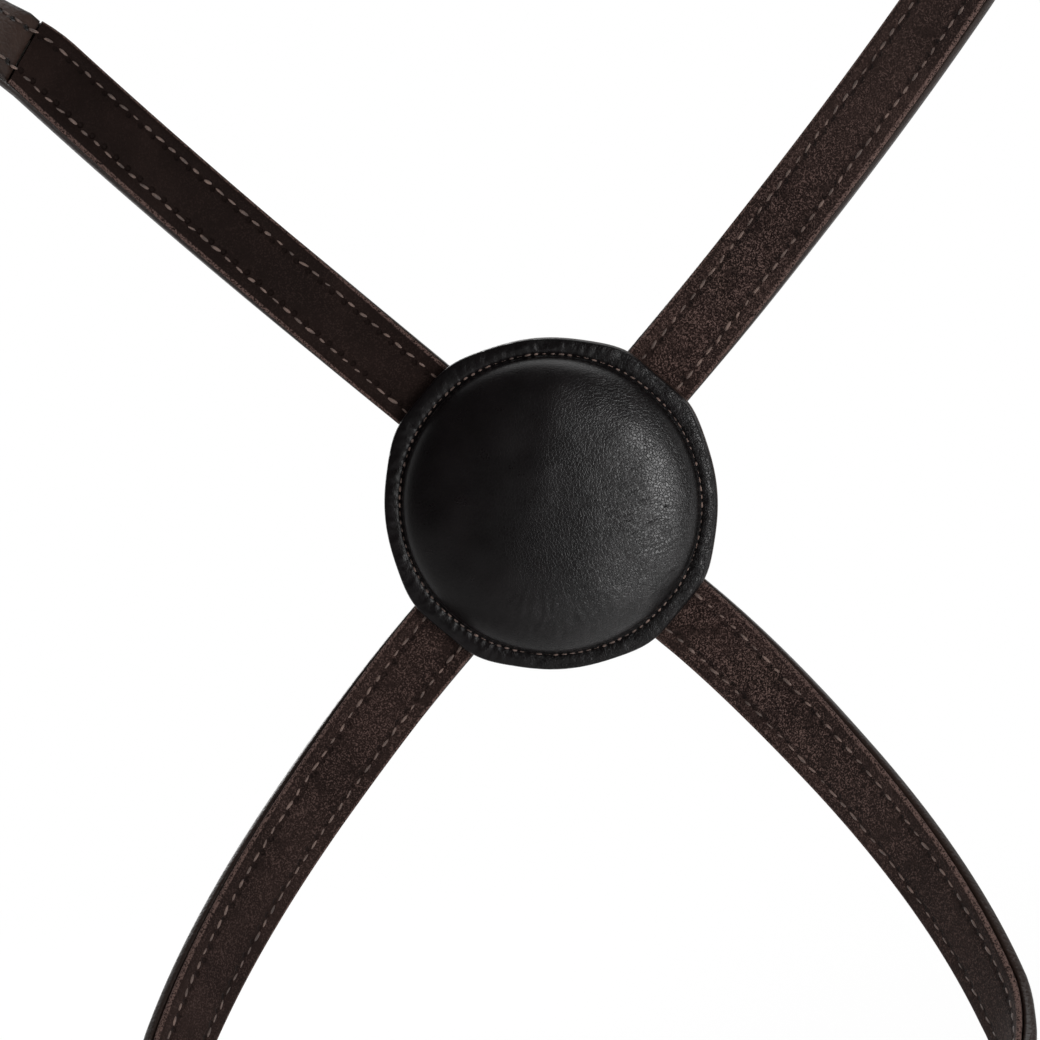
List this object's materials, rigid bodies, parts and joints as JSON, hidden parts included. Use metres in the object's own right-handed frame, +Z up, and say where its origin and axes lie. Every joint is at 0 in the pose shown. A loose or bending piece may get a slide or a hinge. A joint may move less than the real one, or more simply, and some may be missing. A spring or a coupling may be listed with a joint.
{
  "type": "figure eight noseband",
  "caption": "Leather figure eight noseband: raised straps that cross over a padded disc on the nose, with cheek rings, buckled jaw and chin straps and a buckled headpiece.",
  "frame": {"origin": "middle of the headpiece's underside, where it lies on the horse's poll", "axes": "+Z up along the cheeks, +Y out of the front of the face, +X towards the horse's off side (every buckle is on the near side, -X)"},
  "size_m": [0.2085, 0.2179, 0.6929],
  "materials": {
    "strap_leather": "dark brown bridle leather, smooth and lightly waxed",
    "lining_leather": "brown-grey napped lining leather",
    "soft_leather": "soft black leather, fine grain and wrinkles",
    "felt": "dense felt and cord filling, hidden",
    "steel": "stainless steel, finely polished"
  },
  "bodies": {
    "headstall": {"headpiece_strap": "strap_leather", "cheek_strap": "strap_leather", "cheek_fixed_keeper": "strap_leather"},
    "ring_near": {"cheek_ring_near": "steel"},
    "ring_off": {"cheek_ring_off": "steel"},
    "nosepiece": {"nose_strap_billet_leather": "strap_leather", "nose_strap_buckle_leather": "strap_leather", "nose_strap_billet_upper_lining": "lining_leather", "nose_strap_billet_lower_lining": "lining_leather", "nose_strap_buckle_upper_lining": "lining_leather", "nose_strap_buckle_lower_lining": "lining_leather", "nose_strap_billet_upper_cord": "felt", "nose_strap_billet_lower_cord": "felt", "nose_strap_buckle_upper_cord": "felt", "nose_strap_buckle_lower_cord": "felt", "disc_base_leather": "strap_leather", "disc_pad": "felt", "disc_pad_cover": "soft_leather", "chin_fixed_keeper": "strap_leather"},
    "jaw_strap": {"jaw_billet_strap": "strap_leather", "jaw_buckle_strap": "strap_leather", "jaw_fixed_keeper": "strap_leather"},
    "cheek_frame": {"cheek_buckle_frame": "steel"},
    "cheek_tongue": {"cheek_buckle_tongue": "steel"},
    "cheek_runner": {"cheek_runner_keeper": "strap_leather"},
    "jaw_frame": {"jaw_buckle_frame": "steel"},
    "jaw_tongue": {"jaw_buckle_tongue": "steel"},
    "jaw_runner": {"jaw_runner_keeper": "strap_leather"},
    "chin_frame": {"chin_buckle_frame": "steel"},
    "chin_tongue": {"chin_buckle_tongue": "steel"},
    "chin_runner": {"chin_runner_keeper": "strap_leather"}
  },
  "joints": [
    {"name": "ring_near_turn", "type": "hinge", "parent": "headstall", "child": "ring_near", "pos_m": [-0.099, 0, -0.372], "axis": [1, 0, 0], "continuous": true},
    {"name": "ring_off_turn", "type": "hinge", "parent": "headstall", "child": "ring_off", "pos_m": [0.099, 0, -0.372], "axis": [1, 0, 0], "continuous": true},
    {"name": "nosepiece_swing", "type": "hinge", "parent": "headstall", "child": "nosepiece", "pos_m": [0, 0, -0.372], "axis": [1, 0, 0], "range_deg": [-20, 20]},
    {"name": "jaw_strap_swing", "type": "hinge", "parent": "headstall", "child": "jaw_strap", "pos_m": [0, 0, -0.372], "axis": [1, 0, 0], "range_deg": [-25, 25]},
    {"name": "cheek_frame_lift", "type": "hinge", "parent": "headstall", "child": "cheek_frame", "pos_m": [-0.08878, 0, -0.18235], "axis": [0, -1, 0], "range_deg": [0, 5]},
    {"name": "cheek_tongue_lift", "type": "hinge", "parent": "cheek_frame", "child": "cheek_tongue", "pos_m": [-0.08878, 0, -0.18235], "axis": [0, -1, 0], "range_deg": [0, 3]},
    {"name": "cheek_runner_slide", "type": "slide", "parent": "headstall", "child": "cheek_runner", "axis": [-0.0698, 0, -0.9976], "range_m": [-0.001, 0.007]},
    {"name": "jaw_frame_lift", "type": "hinge", "parent": "jaw_strap", "child": "jaw_frame", "pos_m": [-0.07919, -0.08701, -0.37961], "axis": [0, 0.0872, -0.9962], "range_deg": [0, 5]},
    {"name": "jaw_tongue_lift", "type": "hinge", "parent": "jaw_frame", "child": "jaw_tongue", "pos_m": [-0.07919, -0.08701, -0.37961], "axis": [0, 0.0872, -0.9962], "range_deg": [0, 3]},
    {"name": "jaw_runner_slide", "type": "slide", "parent": "jaw_strap", "child": "jaw_runner", "axis": [-0.4226, 0.9029, 0.079], "range_m": [-0.001, 0.007]},
    {"name": "chin_frame_lift", "type": "hinge", "parent": "nosepiece", "child": "chin_frame", "pos_m": [-0.06553, -0.04336, -0.6461], "axis": [0, 0.5707, -0.8211], "range_deg": [0, 5]},
    {"name": "chin_tongue_lift", "type": "hinge", "parent": "chin_frame", "child": "chin_tongue", "pos_m": [-0.06553, -0.04336, -0.6461], "axis": [0, 0.5707, -0.8211], "range_deg": [0, 3]},
    {"name": "chin_runner_slide", "type": "slide", "parent": "nosepiece", "child": "chin_runner", "axis": [-0.342, 0.7716, 0.5363], "range_m": [-0.001, 0.007]}
  ]
}
